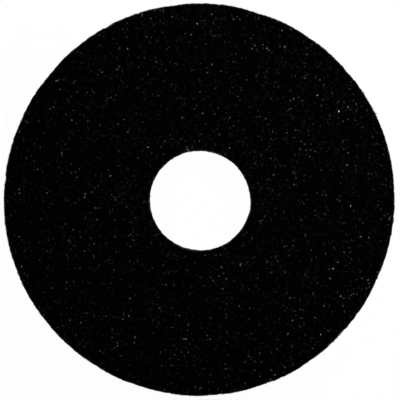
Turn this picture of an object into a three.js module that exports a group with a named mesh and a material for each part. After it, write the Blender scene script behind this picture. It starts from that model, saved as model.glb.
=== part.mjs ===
// Floor polishing pad, the black grade that strips old finish off hard floors.
// It is one round blank of lofty non-woven web: crimped synthetic fibres laid at random,
// glued where they cross by a black resin that carries the abrasive grain.
// A steel-rule die presses the web thin, cuts the rim and the centre hole in one stroke,
// and lets it spring back. That leaves the edges of the face where the die went in
// well rounded, the other edges crisper, and both cut walls drawn in at mid thickness.
// Units are millimetres. The pad lies on its lower face, with +Z up through its centre.

import * as THREE from "three";
import { mergeVertices } from "three/addons/utils/BufferGeometryUtils.js";

// Sizes of the blank.
const PAD_DIAMETER = 330;
const HOLE_DIAMETER = 85;
const THICKNESS = 25;

// Shape that the die leaves on the rim and on the wall of the hole.
const ENTRY_EDGE_RADIUS = 3;
const EXIT_EDGE_RADIUS = 1.6;
const WALL_DRAW_IN = 0.5;

// Unevenness of the web: soft hollows where the fibres lie thin, between level lands
// that all touch the same plane.
const HOLLOW_DEPTH = 0.6;
const HOLLOW_SPACING = 30;
const HOLLOW_WAVES = 14;

// Facets of the model.
const STEPS_AROUND = 108;
const STEPS_ACROSS_FACE = 14;
const STEPS_DOWN_WALL = 4;
const STEPS_ROUND_EDGE = 3;

// The cut section, as radius and height, walked with the web on the left:
// rim, upper face, wall of the hole, lower face.
function cutSection() {
  const rim = PAD_DIAMETER / 2;
  const bore = HOLE_DIAMETER / 2;
  const entry = THICKNESS - ENTRY_EDGE_RADIUS;
  const middle = (entry + EXIT_EDGE_RADIUS) / 2;
  const quarter = Math.PI / 2;
  // A quadratic curve passes half way to its control point.
  const pull = 2 * WALL_DRAW_IN;

  const section = new THREE.Path();
  section.moveTo(rim, EXIT_EDGE_RADIUS);
  section.quadraticCurveTo(rim - pull, middle, rim, entry);
  section.absarc(rim - ENTRY_EDGE_RADIUS, entry, ENTRY_EDGE_RADIUS, 0, quarter, false);
  section.lineTo(bore + ENTRY_EDGE_RADIUS, THICKNESS);
  section.absarc(bore + ENTRY_EDGE_RADIUS, entry, ENTRY_EDGE_RADIUS, quarter, 2 * quarter, false);
  section.quadraticCurveTo(bore + pull, middle, bore, EXIT_EDGE_RADIUS);
  section.absarc(bore + EXIT_EDGE_RADIUS, EXIT_EDGE_RADIUS, EXIT_EDGE_RADIUS, 2 * quarter, 3 * quarter, false);
  section.lineTo(rim - EXIT_EDGE_RADIUS, 0);
  section.absarc(rim - EXIT_EDGE_RADIUS, EXIT_EDGE_RADIUS, EXIT_EDGE_RADIUS, 3 * quarter, 4 * quarter, false);
  return section;
}

// Points along the section, each kind of stretch with its own number of steps.
function sectionPoints(section) {
  const points = [];
  for (const stretch of section.curves) {
    let steps = STEPS_ROUND_EDGE;
    if (stretch.isLineCurve) steps = STEPS_ACROSS_FACE;
    if (stretch.isQuadraticBezierCurve) steps = STEPS_DOWN_WALL;
    points.push(...stretch.getPoints(steps).slice(0, -1));
  }
  points.push(points[0].clone());
  return points;
}

// How thin the web lies at a point, from 0 on a land to 1 in the middle of a hollow.
// Waves that run in all directions, spread evenly over a sphere by the golden angle,
// add up to a field with no visible repeat.
function thinnessAt(point) {
  const goldenAngle = Math.PI * (3 - Math.sqrt(5));
  const waveNumber = (2 * Math.PI) / HOLLOW_SPACING;
  const direction = new THREE.Vector3();
  let sum = 0;
  for (let i = 0; i < HOLLOW_WAVES; i++) {
    const rise = 1 - (2 * i + 1) / HOLLOW_WAVES;
    const spread = Math.sqrt(1 - rise * rise);
    direction.set(spread * Math.cos(goldenAngle * i), spread * Math.sin(goldenAngle * i), rise);
    sum += Math.sin(waveNumber * direction.dot(point) + i * i);
  }
  return THREE.MathUtils.smoothstep(sum / Math.sqrt(HOLLOW_WAVES / 2), 0, 2);
}

// Presses the hollows into a closed surface, along its own normals, so that no point
// stands out past the cut blank.
function pressHollows(blank) {
  const position = blank.getAttribute("position");
  const normal = blank.getAttribute("normal");
  const point = new THREE.Vector3();
  const outward = new THREE.Vector3();
  const pressed = position.clone();
  for (let i = 0; i < position.count; i++) {
    point.fromBufferAttribute(position, i);
    outward.fromBufferAttribute(normal, i);
    point.addScaledVector(outward, -HOLLOW_DEPTH * thinnessAt(point));
    pressed.setXYZ(i, point.x, point.y, point.z);
  }
  blank.setAttribute("position", pressed);
  blank.computeVertexNormals();
}

function fibreWeb() {
  const revolved = new THREE.LatheGeometry(sectionPoints(cutSection()), STEPS_AROUND);
  revolved.rotateX(Math.PI / 2);
  revolved.deleteAttribute("normal");
  revolved.deleteAttribute("uv");
  const web = mergeVertices(revolved);
  web.computeVertexNormals();
  pressHollows(web);
  return web;
}

const blackResinWeb = new THREE.MeshStandardMaterial({
  color: 0x0a0a0c,
  roughness: 0.85,
  metalness: 0,
});

const fibrePad = new THREE.Mesh(fibreWeb(), blackResinWeb);
fibrePad.name = "fibre_pad";

const pad = new THREE.Group();
pad.add(fibrePad);

export default pad;
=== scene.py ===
# A floor polishing pad of black non-woven fibre, lying on a white floor and seen from above.
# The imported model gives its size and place, in metres. Each section makes one part of the
# web as it really is, from the glued core out to the loose fibres, cut ends and grit.

import math
import random

import bmesh
import bpy
from mathutils import Euler, Matrix, Vector, noise
from mathutils.bvhtree import BVHTree


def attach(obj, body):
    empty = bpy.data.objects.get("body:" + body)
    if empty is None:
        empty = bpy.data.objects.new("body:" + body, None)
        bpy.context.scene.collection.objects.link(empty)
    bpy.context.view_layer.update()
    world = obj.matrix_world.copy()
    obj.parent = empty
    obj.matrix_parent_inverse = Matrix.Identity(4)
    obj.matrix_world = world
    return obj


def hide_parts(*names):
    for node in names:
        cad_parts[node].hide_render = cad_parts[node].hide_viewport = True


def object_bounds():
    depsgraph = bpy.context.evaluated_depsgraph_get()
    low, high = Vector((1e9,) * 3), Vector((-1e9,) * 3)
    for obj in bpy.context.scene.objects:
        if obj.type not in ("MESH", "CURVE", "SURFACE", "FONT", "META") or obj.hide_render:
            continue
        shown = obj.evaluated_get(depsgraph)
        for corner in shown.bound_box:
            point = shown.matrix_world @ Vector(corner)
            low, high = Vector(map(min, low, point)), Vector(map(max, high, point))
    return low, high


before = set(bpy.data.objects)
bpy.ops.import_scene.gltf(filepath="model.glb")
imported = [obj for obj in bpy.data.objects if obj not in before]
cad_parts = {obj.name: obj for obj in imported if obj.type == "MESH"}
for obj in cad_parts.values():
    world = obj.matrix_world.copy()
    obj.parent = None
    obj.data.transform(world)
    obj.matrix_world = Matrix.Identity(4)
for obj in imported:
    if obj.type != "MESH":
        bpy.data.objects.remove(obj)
cad_low, cad_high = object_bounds()


# Web core
# The blank: nylon staple laid at random into a lofty mat, sprayed with black resin and
# cured, then stamped out with its centre hole by one stroke of a steel-rule die.
# Its glued inner layers close up to a dark, pitted body just under the surface.

cut_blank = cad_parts["fibre_pad"]
reach = [corner.co.xy.length for corner in cut_blank.data.vertices]
rim_radius = max(reach)
hole_radius = min(reach)

# The blank's rounded edges, the steps of its mesh, and the pits and clots of its skin.
die_entry_edge = 0.003
die_exit_edge = 0.0016
edge_segments = 3
weld_distance = 0.00001
core_step = 0.0022
core_turns = 500
core_depth = 0.0011
wall_share = 0.6
pit_size = 0.0046
pit_depth = 0.0015
pit_shift = Vector((7, 3, 1))
clot_size = 0.0021
clot_height = 0.0007

# How far the rim and the hole are out of round once the web has sprung back.
rim_oval = 0.0004
rim_oval_turn = math.radians(75)
rim_square = 0.00023
rim_square_turn = math.radians(18)
hole_oval = 0.00024
hole_oval_turn = math.radians(-22)
hole_closing = 0.0008
hole_off_centre = Vector((0.00073, -0.00082, 0))

# The skin's finish: strands and the pores between them, with the pores coloured darker as painted
# shade, facets, and pools of resin.
strand_gaps = (0.0030, 0.0021, 0.0014)
strand_width = 0.045
strand_detail = 0.45
strand_seed_step = 3.7
strand_flattening = 2.4
# The pores' colour is painted shade: darker than the strands, to stand in for the shade in the
# gaps of the web.
painted_pore_shade = (0.00001, 0.00001, 0.0002, 1)
strand_black = (0.0001, 0.0001, 0.0008, 1)
pore_roughness = 0.22
strand_roughness = 0.16
core_facet = 0.0010
core_facet_tilt = 1.25
pool_size = 0.012
dry_shine = 0.006
pooled_shine = 0.038
field_low = 0.35
field_high = 0.65


def spring_back(spot):
    """How far the web moves at a spot as it leaves the die, a little out of round."""
    turn = math.atan2(spot.y, spot.x)
    outward = Vector((math.cos(turn), math.sin(turn), 0))
    rim_share = (spot.xy.length - hole_radius) / (rim_radius - hole_radius)
    at_rim = rim_oval * math.cos(2 * (turn - rim_oval_turn))
    at_rim += rim_square * math.cos(4 * (turn - rim_square_turn))
    at_hole = hole_oval * math.cos(2 * (turn - hole_oval_turn)) - hole_closing
    return outward * at_rim * rim_share + (outward * at_hole + hole_off_centre) * (1 - rim_share)


cut_form = bmesh.new()
cut_form.from_mesh(cut_blank.data)
bmesh.ops.remove_doubles(cut_form, verts=cut_form.verts, dist=weld_distance)
for corner in cut_form.verts:
    corner.co += spring_back(corner.co)
cut_surface = BVHTree.FromBMesh(cut_form)
cut_form.free()


def pitted_depth(spot, facing):
    """How far the core's skin lies below the cut surface at a spot, less on the walls."""
    clot = clot_height * noise.noise(spot / clot_size)
    pit = pit_depth * max(0.0, noise.noise(spot / pit_size + pit_shift))
    return (core_depth - clot + pit) * max(wall_share, abs(facing.z))


def round_corner(shape, corner, radius):
    """Rounds one corner of an outline, as the die leaves it."""
    bmesh.ops.bevel(
        shape, geom=[corner], affect="VERTICES", offset=radius, offset_type="OFFSET",
        segments=edge_segments, profile=0.5, material=-1,
    )


def die_cut_section():
    """The outline of the cut web on one side of the axis, in short steps."""
    shape = bmesh.new()
    lower = [shape.verts.new((r, 0, cad_low.z)) for r in (hole_radius, rim_radius)]
    upper = [shape.verts.new((r, 0, cad_high.z)) for r in (rim_radius, hole_radius)]
    shape.faces.new(lower + upper)
    for corner in lower:
        round_corner(shape, corner, die_exit_edge)
    for corner in upper:
        round_corner(shape, corner, die_entry_edge)
    bmesh.ops.delete(shape, geom=shape.faces[:], context="FACES_ONLY")
    for side in shape.edges[:]:
        cuts = round(side.calc_length() / core_step) - 1
        if cuts > 0:
            bmesh.ops.subdivide_edges(shape, edges=[side], cuts=cuts)
    return shape


def new_piece(name, shape, finish, smooth=True):
    """Puts a finished shape in the scene as a piece with its material."""
    mesh = bpy.data.meshes.new(name)
    shape.to_mesh(mesh)
    shape.free()
    mesh.polygons.foreach_set("use_smooth", [smooth] * len(mesh.polygons))
    mesh.materials.append(finish)
    piece = bpy.data.objects.new(name, mesh)
    bpy.context.scene.collection.objects.link(piece)
    return piece


def add_node(tree, kind, settings=None, **sockets):
    """Adds a shader node; a socket is given a number, a colour or another node's output."""
    node = tree.nodes.new(kind)
    for setting, value in (settings or {}).items():
        setattr(node, setting, value)
    for name, value in sockets.items():
        socket = node.inputs[name.replace("_", " ")]
        if isinstance(value, bpy.types.NodeSocket):
            tree.links.new(value, socket)
        else:
            socket.default_value = value
    return node


def worked_out(tree, kind, operation, first, second=None):
    """The output of a maths node; its inputs are numbers, vectors or other outputs."""
    node = add_node(tree, kind, {"operation": operation})
    for socket, value in zip(node.inputs, (first, second)):
        if isinstance(value, bpy.types.NodeSocket):
            tree.links.new(value, socket)
        elif value is not None:
            socket.default_value = value
    return node.outputs[0]


def new_finish(name):
    """An empty Principled material, with its tree and shader."""
    finish = bpy.data.materials.new(name)
    finish.use_nodes = True
    return finish, finish.node_tree, finish.node_tree.nodes["Principled BSDF"]


def strand_lines(tree, place, gap, layer):
    """Thin curly lines where one noise field crosses its middle, as fibres cross a web."""
    field = add_node(
        tree, "ShaderNodeTexNoise", {"noise_dimensions": "4D"},
        Vector=place, W=layer, Scale=1 / gap, Detail=1.0, Roughness=strand_detail,
    )
    centred = worked_out(tree, "ShaderNodeMath", "SUBTRACT", field.outputs["Fac"], 0.5)
    distance = worked_out(tree, "ShaderNodeMath", "ABSOLUTE", centred)
    line = add_node(
        tree, "ShaderNodeMapRange", {"interpolation_type": "SMOOTHSTEP"},
        Value=distance, From_Min=0.0, From_Max=strand_width, To_Min=1.0, To_Max=0.0,
    )
    return line.outputs["Result"]


def spread_over(tree, field, at_low, at_high):
    """Stretches the middle of a noise field over the whole span between two values."""
    span = add_node(
        tree, "ShaderNodeMapRange",
        Value=field, From_Min=field_low, From_Max=field_high, To_Min=at_low, To_Max=at_high,
    )
    return span.outputs["Result"]


def blended(tree, share, dark, light):
    """A colour between two others, by a share that another node works out."""
    blend = add_node(
        tree, "ShaderNodeMix", {"data_type": "RGBA"}, Factor=share, A=dark, B=light,
    )
    return blend.outputs["Result"]


def resin_facets(tree, place, facet_size, tilt, surface):
    """Turns a surface's normal in small cells, each its own way, as the flat patches of
    set resin on crossing fibres lie. Only a few of them catch the light."""
    cells = add_node(tree, "ShaderNodeTexVoronoi", Vector=place, Scale=1 / facet_size)
    middle = (0.5, 0.5, 0.5)
    centred = worked_out(tree, "ShaderNodeVectorMath", "SUBTRACT", cells.outputs["Color"], middle)
    lean = worked_out(tree, "ShaderNodeVectorMath", "MULTIPLY", centred, (tilt, tilt, tilt))
    turned = worked_out(tree, "ShaderNodeVectorMath", "ADD", lean, surface)
    return worked_out(tree, "ShaderNodeVectorMath", "NORMALIZE", turned)


def glued_web_finish():
    """Black resin over matted fibre: strands crossing at every depth, and painted shade that
    colours the pores between them darker.
    """
    finish, tree, shader = new_finish("glued_black_web")
    place = add_node(tree, "ShaderNodeTexCoord").outputs["Object"]
    laid_flat = add_node(
        tree, "ShaderNodeMapping", Vector=place, Scale=(1, 1, strand_flattening),
    ).outputs[0]
    strands = 0.0
    for layer, gap in enumerate(strand_gaps):
        line = strand_lines(tree, laid_flat, gap, strand_seed_step * layer)
        strands = worked_out(tree, "ShaderNodeMath", "MAXIMUM", line, strands)
    # Painted shade: the pores between the strands take the darker colour.
    shade = blended(tree, strands, painted_pore_shade, strand_black)
    tree.links.new(shade, shader.inputs["Base Color"])
    gloss = add_node(
        tree, "ShaderNodeMapRange", Value=strands, To_Min=pore_roughness, To_Max=strand_roughness,
    )
    tree.links.new(gloss.outputs["Result"], shader.inputs["Roughness"])
    flat = add_node(tree, "ShaderNodeNewGeometry").outputs["True Normal"]
    facing = resin_facets(tree, place, core_facet, core_facet_tilt, flat)
    tree.links.new(facing, shader.inputs["Normal"])
    pools = add_node(tree, "ShaderNodeTexNoise", Vector=place, Scale=1 / pool_size, Detail=2.0)
    shine = spread_over(tree, pools.outputs["Fac"], dry_shine, pooled_shine)
    tree.links.new(shine, shader.inputs["Specular IOR Level"])
    return finish


web = die_cut_section()
bmesh.ops.spin(
    web, geom=web.verts[:] + web.edges[:], cent=(0, 0, 0), axis=(0, 0, 1),
    angle=math.tau, steps=core_turns, use_merge=True,
)
bmesh.ops.remove_doubles(web, verts=web.verts, dist=weld_distance)
bmesh.ops.recalc_face_normals(web, faces=web.faces)
for point in web.verts:
    spot, facing, _, _ = cut_surface.find_nearest(point.co)
    point.co = spot - facing * pitted_depth(spot, facing)

web_core = new_piece("web_core", web, glued_web_finish())
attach(web_core, "root")
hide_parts("fibre_pad")


# Fibres of the two faces
# Crimped nylon staple that wanders over and under its neighbours, stiff with resin.
# It lies flat in the web, bends over the rounded edges that the die leaves, and dives
# out of sight at its ends.

# A fibre's thickness, its crimp, and how it rises, dives and keeps to its face or wall.
fibre_radius = 0.00016
fibre_radius_spread = (0.7, 1.25)
fibre_step = 0.0024
fibre_steps = 9
crimp_wave = 0.012
crimp_swing = math.radians(42)
crimp_spread = (0.5, 1.4)
steady_bend = math.radians(7)
rise_wave = 0.0095
rise_height = 0.0003
dive_depth = 0.0014
dive_sharpness = 8
wall_rise = 0.3
wall_levelling = 0.85
top_layer = (0.0, 0.0004)
under_layer = (0.0003, 0.0010)
resting_layer = (0.0005, 0.0008)
face_reach = 0.15
wall_reach = 0.93
start_overlap = 0.0015
fewest_points = 3

# The finish of the resin on the fibres.
thin_resin_black = (0.00005, 0.00005, 0.0004, 1)
thick_resin_black = (0.0002, 0.0002, 0.0008, 1)
thin_resin_roughness = 0.3
thick_resin_roughness = 0.18
resin_run = 0.0035
resin_lump = 0.0006
lump_relief = 0.0002
lump_strength = 0.4
fibre_facet = 0.0005
fibre_facet_tilt = 0.8
fibre_shine = 0.0525


def crimped_fibre(start, chance, layer, on_wall=False):
    """Points of one fibre that starts at a spot on the surface, and how thick it is."""
    spot, facing, _, _ = cut_surface.find_nearest(start)
    rise_share = wall_rise if on_wall else 0.0
    heading = Vector((chance.gauss(0, 1), chance.gauss(0, 1), chance.gauss(0, rise_share)))
    crimp_start = chance.uniform(0, math.tau)
    rise_start = chance.uniform(0, math.tau)
    bend = chance.gauss(0, steady_bend)
    swing = crimp_swing * chance.uniform(*crimp_spread) * math.tau * fibre_step / crimp_wave
    depth = chance.uniform(*layer)
    radius = fibre_radius * chance.uniform(*fibre_radius_spread)
    points = []
    for step in range(fibre_steps + 1):
        gone = math.tau * step * fibre_step
        rise = rise_height * (math.sin(gone / rise_wave + rise_start) - 1)
        dive = dive_depth * (2 * step / fibre_steps - 1) ** dive_sharpness
        points.append(spot + facing * (rise - depth - dive))
        turn = bend + swing * math.cos(gone / crimp_wave + crimp_start)
        heading = Matrix.Rotation(turn, 3, facing) @ heading
        if on_wall:
            heading.z *= wall_levelling
        heading = (heading - facing * heading.dot(facing)).normalized()
        spot, facing, _, _ = cut_surface.find_nearest(spot + heading * fibre_step)
        level = abs(facing.z)
        off_the_wall = on_wall and level > wall_reach
        off_the_face = not on_wall and level < face_reach
        if off_the_wall or off_the_face:
            break
    return points, radius


def three_sided_section():
    """The section of a fibre: three sides, shaded round."""
    outline = bpy.data.curves.new("fibre_section", "CURVE")
    outline.dimensions = "2D"
    sides = outline.splines.new("POLY")
    sides.points.add(2)
    for number, corner in enumerate(sides.points):
        turn = math.tau * number / 3
        corner.co = (math.cos(turn), math.sin(turn), 0, 1)
    sides.use_cyclic_u = True
    return bpy.data.objects.new("fibre_section", outline)


def fibre_bundle(name, fibres, finish):
    """Makes one piece of many fibres, each a thin tube along its points."""
    section = three_sided_section()
    runs = bpy.data.curves.new(name, "CURVE")
    runs.dimensions = "3D"
    runs.bevel_mode = "OBJECT"
    runs.bevel_object = section
    runs.use_fill_caps = True
    for points, radius in fibres:
        fibre = runs.splines.new("POLY")
        fibre.points.add(len(points) - 1)
        fibre.use_smooth = True
        for knot, place in zip(fibre.points, points):
            knot.co = (*place, 1)
            knot.radius = radius
    drawn = bpy.data.objects.new(name, runs)
    bpy.context.scene.collection.objects.link(drawn)
    seen = bpy.context.evaluated_depsgraph_get()
    tubes = bpy.data.meshes.new_from_object(drawn.evaluated_get(seen))
    shape = bmesh.new()
    shape.from_mesh(tubes)
    bmesh.ops.recalc_face_normals(shape, faces=shape.faces)
    bpy.data.meshes.remove(tubes)
    bpy.data.objects.remove(drawn)
    bpy.data.curves.remove(runs)
    bpy.data.curves.remove(section.data)
    return new_piece(name, shape, finish)


def resin_fibre_finish():
    """Resin skin on nylon: nearly black, bluish, glossy in places where it ran thick."""
    finish, tree, shader = new_finish("resin_coated_fibre")
    place = add_node(tree, "ShaderNodeTexCoord").outputs["Object"]
    run = add_node(
        tree, "ShaderNodeTexNoise", Vector=place, Scale=1 / resin_run, Detail=2.0,
    ).outputs["Fac"]
    shade = blended(tree, run, thin_resin_black, thick_resin_black)
    tree.links.new(shade, shader.inputs["Base Color"])
    gloss = spread_over(tree, run, thin_resin_roughness, thick_resin_roughness)
    tree.links.new(gloss, shader.inputs["Roughness"])
    lumps = add_node(
        tree, "ShaderNodeTexNoise", Vector=place, Scale=1 / resin_lump, Detail=1.0,
    ).outputs["Fac"]
    relief = add_node(
        tree, "ShaderNodeBump", Height=lumps, Strength=lump_strength, Distance=lump_relief,
    ).outputs["Normal"]
    facing = resin_facets(tree, place, fibre_facet, fibre_facet_tilt, relief)
    tree.links.new(facing, shader.inputs["Normal"])
    shader.inputs["Specular IOR Level"].default_value = fibre_shine
    return finish


def face_fibres(count, height, layer, seed):
    """Fibres that start anywhere on a face, a little past its edges too."""
    chance = random.Random(seed)
    inner = hole_radius - start_overlap
    outer = rim_radius + start_overlap
    fibres = []
    while len(fibres) < count:
        radius = math.sqrt(chance.uniform(inner ** 2, outer ** 2))
        turn = chance.uniform(0, math.tau)
        start = Vector((radius * math.cos(turn), radius * math.sin(turn), height))
        fibre = crimped_fibre(start, chance, layer)
        if len(fibre[0]) >= fewest_points:
            fibres.append(fibre)
    return fibres


resin_fibre = resin_fibre_finish()

under_runs = face_fibres(count=3550, height=cad_high.z, layer=under_layer, seed=11)
upper_under_fibres = fibre_bundle("upper_under_fibres", under_runs, resin_fibre)
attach(upper_under_fibres, "root")

upper_runs = face_fibres(count=3550, height=cad_high.z, layer=top_layer, seed=12)
upper_top_fibres = fibre_bundle("upper_top_fibres", upper_runs, resin_fibre)
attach(upper_top_fibres, "root")

lower_runs = face_fibres(count=2200, height=cad_low.z, layer=resting_layer, seed=13)
lower_top_fibres = fibre_bundle("lower_top_fibres", lower_runs, resin_fibre)
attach(lower_top_fibres, "root")


# Fibres of the cut walls
# The die bares the edges of the layers. Some fibres run round the rim and the hole in
# flat courses, and many more end there as short, stiff stubble.

wall_layer = (0.0, 0.0005)
floor_gap = 0.001
stub_root = 0.0016
stub_lean = 0.5
stub_levelling = 0.5
stub_bow = 0.0002
stub_reach = (-0.0003, 0.0)
stub_radius_spread = (0.7, 1.2)


def spot_on_wall(radius, chance):
    """A spot at any height of a cut wall, clear of the floor."""
    turn = chance.uniform(0, math.tau)
    height = chance.uniform(cad_low.z + floor_gap, cad_high.z)
    return Vector((radius * math.cos(turn), radius * math.sin(turn), height))


def wall_fibres(count, radius, seed):
    """Fibres that run along a cut wall."""
    chance = random.Random(seed)
    fibres = []
    while len(fibres) < count:
        fibre = crimped_fibre(spot_on_wall(radius, chance), chance, wall_layer, on_wall=True)
        if len(fibre[0]) >= fewest_points:
            fibres.append(fibre)
    return fibres


def cut_stubble(count, radius, seed):
    """Short ends that lean every way out of a cut wall."""
    chance = random.Random(seed)
    stubs = []
    for _ in range(count):
        spot, facing, _, _ = cut_surface.find_nearest(spot_on_wall(radius, chance))
        lean = Vector([chance.gauss(0, stub_lean) for _ in range(3)])
        lean.z *= stub_levelling
        tip = spot + facing * chance.uniform(*stub_reach)
        root = tip - (facing + lean) * stub_root
        knee = (tip + root) / 2 + lean * stub_bow
        stubs.append(([root, knee, tip], fibre_radius * chance.uniform(*stub_radius_spread)))
    return stubs


rim_runs = wall_fibres(count=2500, radius=rim_radius, seed=21)
rim_runs += cut_stubble(count=2600, radius=rim_radius, seed=23)
rim_fibres = fibre_bundle("rim_fibres", rim_runs, resin_fibre)
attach(rim_fibres, "root")

hole_runs = wall_fibres(count=700, radius=hole_radius, seed=22)
hole_runs += cut_stubble(count=700, radius=hole_radius, seed=24)
hole_fibres = fibre_bundle("hole_fibres", hole_runs, resin_fibre)
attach(hole_fibres, "root")


# Resin beads and grit
# Resin drew up into beads where fibres cross, and it holds the broken black grit that
# does the stripping. Their facets give the pad its scattered glints.

bead_radius = 0.00024
bead_spread = (0.6, 1.3)
grain_size = 0.0004
grain_spread = (0.6, 1.4)
grain_breakage = 0.16
film_size = 0.0008
film_spread = (0.5, 1.3)
film_width = (0.5, 1)
film_flatness = 0.12
film_tilt = 0.35
film_raggedness = (0.14, 0.14, 0.02)
squash_spread = (0.7, 1.2)
patch_size = 0.009
patch_middle = 0.1
patch_spread = 0.25
handful_size = 50

# The finish of beads, films and grit.
glass_cloud = 0.002
glass_black = (0.0002, 0.0002, 0.0006, 1)
glass_grey = (0.0008, 0.0008, 0.0016, 1)


def glassy_finish(name, roughness, shine):
    """Black and glassy, a little cloudy, as set resin and broken grain are."""
    finish, tree, shader = new_finish(name)
    place = add_node(tree, "ShaderNodeTexCoord").outputs["Object"]
    cloud = add_node(tree, "ShaderNodeTexNoise", Vector=place, Scale=1 / glass_cloud, Detail=1.0)
    shade = blended(tree, cloud.outputs["Fac"], glass_black, glass_grey)
    tree.links.new(shade, shader.inputs["Base Color"])
    shader.inputs["Roughness"].default_value = roughness
    shader.inputs["Specular IOR Level"].default_value = shine
    return finish


def on_a_fibre(runs, chance):
    """A spot on a fibre, more often in the patches where resin and grit lie thick."""
    while True:
        points, radius = chance.choice(runs)
        spot = chance.choice(points)
        if noise.noise(spot / patch_size) > chance.gauss(patch_middle, patch_spread):
            return spot + Vector([chance.uniform(-radius, radius) for _ in range(3)])


def turned_at(spot, chance):
    """A place at a spot, turned any way and squashed a little."""
    turn = Euler([chance.uniform(0, math.tau) for _ in range(3)])
    squash = Matrix.Diagonal([chance.uniform(*squash_spread) for _ in range(3)] + [1])
    return Matrix.Translation(spot) @ turn.to_matrix().to_4x4() @ squash


def resin_bead(shape, spot, chance):
    """A bead of resin that set on a fibre."""
    bmesh.ops.create_icosphere(
        shape, subdivisions=1, radius=bead_radius * chance.uniform(*bead_spread),
        matrix=turned_at(spot, chance),
    )


def broken_grain(shape, spot, chance):
    """A grain of grit: a block with its corners broken out of square."""
    size = grain_size * chance.uniform(*grain_spread)
    grain = bmesh.ops.create_cube(shape, size=size, matrix=turned_at(spot, chance))
    for corner in grain["verts"]:
        corner.co += Vector([chance.gauss(0, size * grain_breakage) for _ in range(3)])


def resin_film(shape, spot, chance):
    """A thin skin of resin that set in the crook of two fibres, lying nearly level."""
    lean = [chance.gauss(0, film_tilt), chance.gauss(0, film_tilt), chance.uniform(0, math.tau)]
    size = film_size * chance.uniform(*film_spread)
    place = Matrix.Translation(spot) @ Euler(lean).to_matrix().to_4x4()
    place = place @ Matrix.Diagonal((1, chance.uniform(*film_width), film_flatness, 1))
    film = bmesh.ops.create_cube(shape, size=size, matrix=place)
    for corner in film["verts"]:
        corner.co += Vector([chance.gauss(0, size * share) for share in film_raggedness])


def scattered(make_one, shares, seed):
    """Puts small things on the fibres, a handful at a time, and joins the handfuls.
    Whatever would reach below the floor is pressed flat on it."""
    chance = random.Random(seed)
    whole = bmesh.new()
    for runs, count in shares:
        placed = 0
        while placed < count:
            handful = bmesh.new()
            for _ in range(handful_size):
                make_one(handful, on_a_fibre(runs, chance), chance)
            placed += handful_size
            batch = bpy.data.meshes.new("handful")
            handful.to_mesh(batch)
            handful.free()
            whole.from_mesh(batch)
            bpy.data.meshes.remove(batch)
    for corner in whole.verts:
        corner.co.z = max(corner.co.z, cad_low.z)
    return whole


bead_shares = ((upper_runs, 900), (under_runs, 300), (rim_runs, 200), (hole_runs, 50))
beads = scattered(resin_bead, bead_shares, seed=31)
bead_resin = glassy_finish("bead_resin", roughness=0.2, shine=0.25)
resin_beads = new_piece("resin_beads", beads, bead_resin)
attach(resin_beads, "root")

film_shares = ((upper_runs, 2600), (under_runs, 600), (lower_runs, 700), (rim_runs, 300))
films = scattered(resin_film, film_shares, seed=33)
film_resin = glassy_finish("film_resin", roughness=0.18, shine=0.17)
resin_films = new_piece("resin_films", films, film_resin, smooth=False)
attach(resin_films, "root")

grit_shares = (
    (upper_runs, 2200), (under_runs, 800), (lower_runs, 700), (rim_runs, 500), (hole_runs, 100),
)
grit = scattered(broken_grain, grit_shares, seed=32)
black_grit = glassy_finish("black_grit", roughness=0.18, shine=0.29)
stripping_grit = new_piece("stripping_grit", grit, black_grit, smooth=False)
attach(stripping_grit, "root")


# Floor and wall of the studio
# A white floor that sweeps up into a low white wall all round.

sweep_radius = 6.0
sweep_height = 1.0
sweep_cove = 0.4
cove_segments = 8
sweep_turns = 96
white_share = 0.98
matt_white = (0.95, 0.95, 0.95, 1)
clean_white = (1, 1, 1, 1)


def white_sweep_finish():
    """White to the eye and in reflections, and a pale matt floor to all other light."""
    finish, tree, shader = new_finish("white_sweep")
    tree.nodes.remove(shader)
    path = add_node(tree, "ShaderNodeLightPath").outputs
    seen = path["Is Camera Ray"]
    for ray in ("Is Glossy Ray", "Is Transmission Ray"):
        seen = worked_out(tree, "ShaderNodeMath", "MAXIMUM", seen, path[ray])
    share = worked_out(tree, "ShaderNodeMath", "MULTIPLY", seen, white_share)
    matt = add_node(tree, "ShaderNodeBsdfDiffuse", Color=matt_white)
    white = add_node(tree, "ShaderNodeEmission", Color=clean_white, Strength=1.0)
    mix = add_node(tree, "ShaderNodeMixShader", Fac=share)
    tree.links.new(matt.outputs[0], mix.inputs[1])
    tree.links.new(white.outputs[0], mix.inputs[2])
    tree.links.new(mix.outputs[0], tree.nodes["Material Output"].inputs["Surface"])
    finish.cycles.emission_sampling = "NONE"
    return finish


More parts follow.
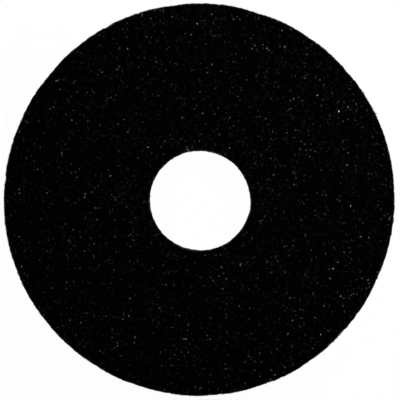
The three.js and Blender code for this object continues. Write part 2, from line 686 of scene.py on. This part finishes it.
sweep = bmesh.new()
middle = sweep.verts.new((0, 0, cad_low.z))
foot = sweep.verts.new((sweep_radius, 0, cad_low.z))
top = sweep.verts.new((sweep_radius, 0, cad_low.z + sweep_height))
sweep.edges.new((middle, foot))
sweep.edges.new((foot, top))
bmesh.ops.bevel(
    sweep, geom=[foot], affect="VERTICES", offset=sweep_cove, offset_type="OFFSET",
    segments=cove_segments, profile=0.5, material=-1,
)
bmesh.ops.spin(
    sweep, geom=sweep.verts[:] + sweep.edges[:], cent=(0, 0, 0), axis=(0, 0, 1),
    angle=math.tau, steps=sweep_turns, use_merge=True,
)
bmesh.ops.remove_doubles(sweep, verts=sweep.verts, dist=weld_distance)
bmesh.ops.recalc_face_normals(sweep, faces=sweep.faces)
white_sweep = new_piece("white_sweep", sweep, white_sweep_finish())


# Light
# A soft box over the far right corner, a weaker one to the left, and an even room light.

cool_white = (0.94, 0.95, 1.0)
room_white = (1, 1, 1, 1)
room_strength = 0.01


def soft_box(name, place, size, power):
    """A square soft light that points at the middle of the pad."""
    box = bpy.data.lights.new(name, "AREA")
    box.shape = "SQUARE"
    box.size = size
    box.energy = power
    box.color = cool_white
    lamp = bpy.data.objects.new(name, box)
    lamp.location = place
    lamp.rotation_euler = (-Vector(place)).to_track_quat("-Z", "Y").to_euler()
    bpy.context.scene.collection.objects.link(lamp)


soft_box("key_light", place=(0.6, 0.45, 0.75), size=0.19, power=12.5)
soft_box("fill_light", place=(-0.7, 0.35, 0.9), size=0.16, power=2)

room = bpy.data.worlds.new("room_light")
room.use_nodes = True
room.node_tree.nodes["Background"].inputs["Color"].default_value = room_white
room.node_tree.nodes["Background"].inputs["Strength"].default_value = room_strength
bpy.context.scene.world = room
bpy.context.scene.view_settings.view_transform = "Standard"


# Camera
# Three metres above the pad and looking straight down, with the pad all but in the middle.

image_width = 400
camera_height = 3.0
pixels_per_metre = 1191.6
pad_middle_pixel = Vector((199.18, 199.6))

lens = bpy.data.cameras.new("camera")
camera = bpy.data.objects.new("camera", lens)
aim = (Vector((image_width, image_width)) / 2 - pad_middle_pixel) / pixels_per_metre
camera.location = (aim.x, -aim.y, cad_high.z + camera_height)
lens.lens = lens.sensor_width * pixels_per_metre * camera_height / image_width
lens.clip_start = 0.1
lens.clip_end = 50
bpy.context.scene.collection.objects.link(camera)
bpy.context.scene.camera = camera
